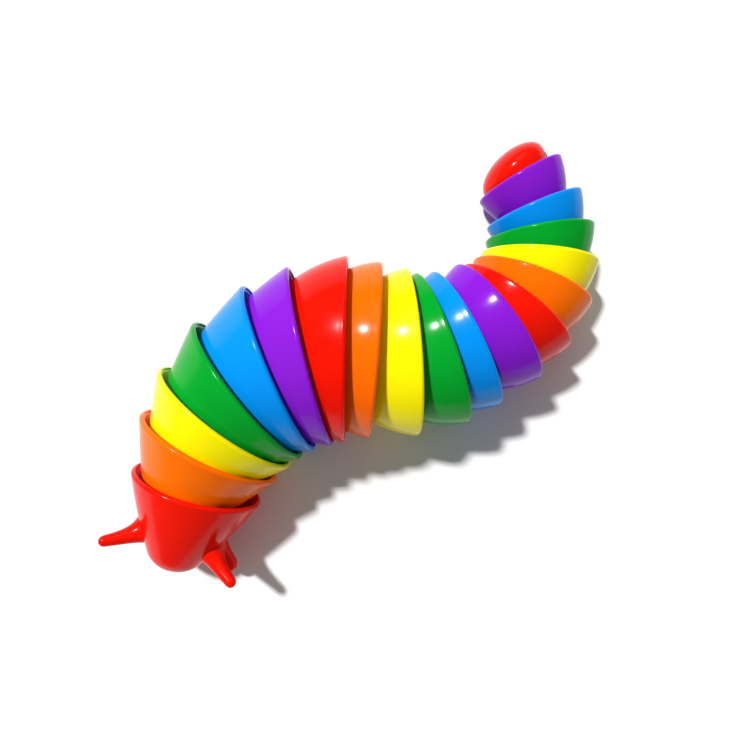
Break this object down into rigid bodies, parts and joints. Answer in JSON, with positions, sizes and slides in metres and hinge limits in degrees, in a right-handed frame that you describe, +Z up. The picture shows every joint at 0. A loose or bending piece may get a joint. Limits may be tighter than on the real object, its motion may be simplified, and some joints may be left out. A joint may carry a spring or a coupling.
{
  "type": "articulated toy slug",
  "caption": "Hand fidget toy of nested flat-bottomed plastic shells in rainbow colours, with a feelered head and a domed tail, linked so that it bends from side to side and pulls out.",
  "frame": {"origin": "middle of the bounding box in plan, on the floor", "axes": "+Z up; +X across the pictured S-curve from the head's side to the tail's side"},
  "size_m": [0.1138, 0.1048, 0.035],
  "materials": {
    "red_shell": "smooth glossy injection-moulded plastic",
    "orange_shell": "smooth glossy injection-moulded plastic",
    "yellow_shell": "smooth glossy injection-moulded plastic",
    "green_shell": "smooth glossy injection-moulded plastic",
    "blue_shell": "smooth glossy injection-moulded plastic",
    "purple_shell": "smooth glossy injection-moulded plastic",
    "link": "plain off-white moulded plastic"
  },
  "bodies": {
    "head_body": {"head": "red_shell"},
    "link_01_body": {"link_01": "link"},
    "shell_02_body": {"shell_02": "orange_shell"},
    "link_02_body": {"link_02": "link"},
    "shell_03_body": {"shell_03": "yellow_shell"},
    "link_03_body": {"link_03": "link"},
    "shell_04_body": {"shell_04": "green_shell"},
    "link_04_body": {"link_04": "link"},
    "shell_05_body": {"shell_05": "blue_shell"},
    "link_05_body": {"link_05": "link"},
    "shell_06_body": {"shell_06": "purple_shell"},
    "link_06_body": {"link_06": "link"},
    "shell_07_body": {"shell_07": "red_shell"},
    "link_07_body": {"link_07": "link"},
    "shell_08_body": {"shell_08": "orange_shell"},
    "link_08_body": {"link_08": "link"},
    "shell_09_body": {"shell_09": "yellow_shell"},
    "link_09_body": {"link_09": "link"},
    "shell_10_body": {"shell_10": "green_shell"},
    "link_10_body": {"link_10": "link"},
    "shell_11_body": {"shell_11": "blue_shell"},
    "link_11_body": {"link_11": "link"},
    "shell_12_body": {"shell_12": "purple_shell"},
    "link_12_body": {"link_12": "link"},
    "shell_13_body": {"shell_13": "red_shell"},
    "link_13_body": {"link_13": "link"},
    "shell_14_body": {"shell_14": "orange_shell"},
    "link_14_body": {"link_14": "link"},
    "shell_15_body": {"shell_15": "yellow_shell"},
    "link_15_body": {"link_15": "link"},
    "shell_16_body": {"shell_16": "green_shell"},
    "link_16_body": {"link_16": "link"},
    "shell_17_body": {"shell_17": "blue_shell"},
    "link_17_body": {"link_17": "link"},
    "shell_18_body": {"shell_18": "purple_shell"},
    "link_18_body": {"link_18": "link"},
    "tail_body": {"tail": "red_shell"}
  },
  "joints": [
    {"name": "pull_01", "type": "slide", "parent": "head_body", "child": "link_01_body", "axis": [0.309, 0.9511, 0], "range_m": [0, 0.0022]},
    {"name": "bend_01", "type": "hinge", "parent": "link_01_body", "child": "shell_02_body", "pos_m": [-0.03365, -0.02272, 0.0066], "axis": [0, 0, 1], "range_deg": [-4, 24]},
    {"name": "pull_02", "type": "slide", "parent": "shell_02_body", "child": "link_02_body", "axis": [0.4695, 0.8829, 0], "range_m": [0, 0.0022]},
    {"name": "bend_02", "type": "hinge", "parent": "link_02_body", "child": "shell_03_body", "pos_m": [-0.02999, -0.01583, 0.0066], "axis": [0, 0, 1], "range_deg": [-1, 21]},
    {"name": "pull_03", "type": "slide", "parent": "shell_03_body", "child": "link_03_body", "axis": [0.6157, 0.788, 0], "range_m": [0, 0.0022]},
    {"name": "bend_03", "type": "hinge", "parent": "link_03_body", "child": "shell_04_body", "pos_m": [-0.02488, -0.00929, 0.0066], "axis": [0, 0, 1], "range_deg": [-1, 29]},
    {"name": "pull_04", "type": "slide", "parent": "shell_04_body", "child": "link_04_body", "axis": [0.788, 0.6157, 0], "range_m": [0, 0.0022]},
    {"name": "bend_04", "type": "hinge", "parent": "link_04_body", "child": "shell_05_body", "pos_m": [-0.01818, -0.00406, 0.0066], "axis": [0, 0, 1], "range_deg": [-0.5, 30.5]},
    {"name": "pull_05", "type": "slide", "parent": "shell_05_body", "child": "link_05_body", "axis": [0.9205, 0.3907, 0], "range_m": [0, 0.0022]},
    {"name": "bend_05", "type": "hinge", "parent": "link_05_body", "child": "shell_06_body", "pos_m": [-0.01127, -0.00113, 0.0066], "axis": [0, 0, 1], "range_deg": [-2, 20]},
    {"name": "pull_06", "type": "slide", "parent": "shell_06_body", "child": "link_06_body", "axis": [0.9703, 0.2419, 0], "range_m": [0, 0.0022]},
    {"name": "bend_06", "type": "hinge", "parent": "link_06_body", "child": "shell_07_body", "pos_m": [-0.00351, 0.0008, 0.0066], "axis": [0, 0, 1], "range_deg": [-0.5, 30.5]},
    {"name": "pull_07", "type": "slide", "parent": "shell_07_body", "child": "link_07_body", "axis": [0.9998, -0.0175, 0], "range_m": [0, 0.0022]},
    {"name": "bend_07", "type": "hinge", "parent": "link_07_body", "child": "shell_08_body", "pos_m": [0.00299, 0.00069, 0.0066], "axis": [0, 0, 1], "range_deg": [-10, 16]},
    {"name": "pull_08", "type": "slide", "parent": "shell_08_body", "child": "link_08_body", "axis": [0.9976, -0.0698, 0], "range_m": [0, 0.002]},
    {"name": "bend_08", "type": "hinge", "parent": "link_08_body", "child": "shell_09_body", "pos_m": [0.01147, 0.0001, 0.0066], "axis": [0, 0, 1], "range_deg": [-22, 6]},
    {"name": "pull_09", "type": "slide", "parent": "shell_09_body", "child": "link_09_body", "axis": [0.9976, 0.0698, 0], "range_m": [0, 0.0022]},
    {"name": "bend_09", "type": "hinge", "parent": "link_09_body", "child": "shell_10_body", "pos_m": [0.01845, 0.00059, 0.0066], "axis": [0, 0, 1], "range_deg": [-31, 1]},
    {"name": "pull_10", "type": "slide", "parent": "shell_10_body", "child": "link_10_body", "axis": [0.9455, 0.3256, 0], "range_m": [0, 0.0022]},
    {"name": "bend_10", "type": "hinge", "parent": "link_10_body", "child": "shell_11_body", "pos_m": [0.02412, 0.00254, 0.0066], "axis": [0, 0, 1], "range_deg": [-21, 7]},
    {"name": "pull_11", "type": "slide", "parent": "shell_11_body", "child": "link_11_body", "axis": [0.8988, 0.4384, 0], "range_m": [0, 0.0015]},
    {"name": "bend_11", "type": "hinge", "parent": "link_11_body", "child": "shell_12_body", "pos_m": [0.03176, 0.00627, 0.0066], "axis": [0, 0, 1], "range_deg": [-23, 5]},
    {"name": "pull_12", "type": "slide", "parent": "shell_12_body", "child": "link_12_body", "axis": [0.8192, 0.5736, 0], "range_m": [0, 0.0022]},
    {"name": "bend_12", "type": "hinge", "parent": "link_12_body", "child": "shell_13_body", "pos_m": [0.03668, 0.00971, 0.0066], "axis": [0, 0, 1], "range_deg": [-33, 1]},
    {"name": "pull_13", "type": "slide", "parent": "shell_13_body", "child": "link_13_body", "axis": [0.6293, 0.7771, 0], "range_m": [0, 0.0015]},
    {"name": "bend_13", "type": "hinge", "parent": "link_13_body", "child": "shell_14_body", "pos_m": [0.04108, 0.01515, 0.0066], "axis": [0, 0, 1], "range_deg": [-33, 1]},
    {"name": "pull_14", "type": "slide", "parent": "shell_14_body", "child": "link_14_body", "axis": [0.3907, 0.9205, 0], "range_m": [0, 0.0022]},
    {"name": "bend_14", "type": "hinge", "parent": "link_14_body", "child": "shell_15_body", "pos_m": [0.04343, 0.02067, 0.0066], "axis": [0, 0, 1], "range_deg": [-33, 1]},
    {"name": "pull_15", "type": "slide", "parent": "shell_15_body", "child": "link_15_body", "axis": [0.1219, 0.9925, 0], "range_m": [0, 0.0015]},
    {"name": "bend_15", "type": "hinge", "parent": "link_15_body", "child": "shell_16_body", "pos_m": [0.04416, 0.02663, 0.0066], "axis": [0, 0, 1], "range_deg": [-29, 1]},
    {"name": "pull_16", "type": "slide", "parent": "shell_16_body", "child": "link_16_body", "axis": [-0.1219, 0.9925, 0], "range_m": [0, 0.0015]},
    {"name": "bend_16", "type": "hinge", "parent": "link_16_body", "child": "shell_17_body", "pos_m": [0.04343, 0.03258, 0.0066], "axis": [0, 0, 1], "range_deg": [-29, 1]},
    {"name": "pull_17", "type": "slide", "parent": "shell_17_body", "child": "link_17_body", "axis": [-0.3584, 0.9336, 0], "range_m": [0, 0.0015]},
    {"name": "bend_17", "type": "hinge", "parent": "link_17_body", "child": "shell_18_body", "pos_m": [0.04056, 0.04005, 0.0066], "axis": [0, 0, 1], "range_deg": [-21, 7]},
    {"name": "pull_18", "type": "slide", "parent": "shell_18_body", "child": "link_18_body", "axis": [-0.4695, 0.8829, 0], "range_m": [0, 0.0022]},
    {"name": "bend_18", "type": "hinge", "parent": "link_18_body", "child": "tail_body", "pos_m": [0.03845, 0.04402, 0.0066], "axis": [0, 0, 1], "range_deg": [-30, 2]}
  ]
}
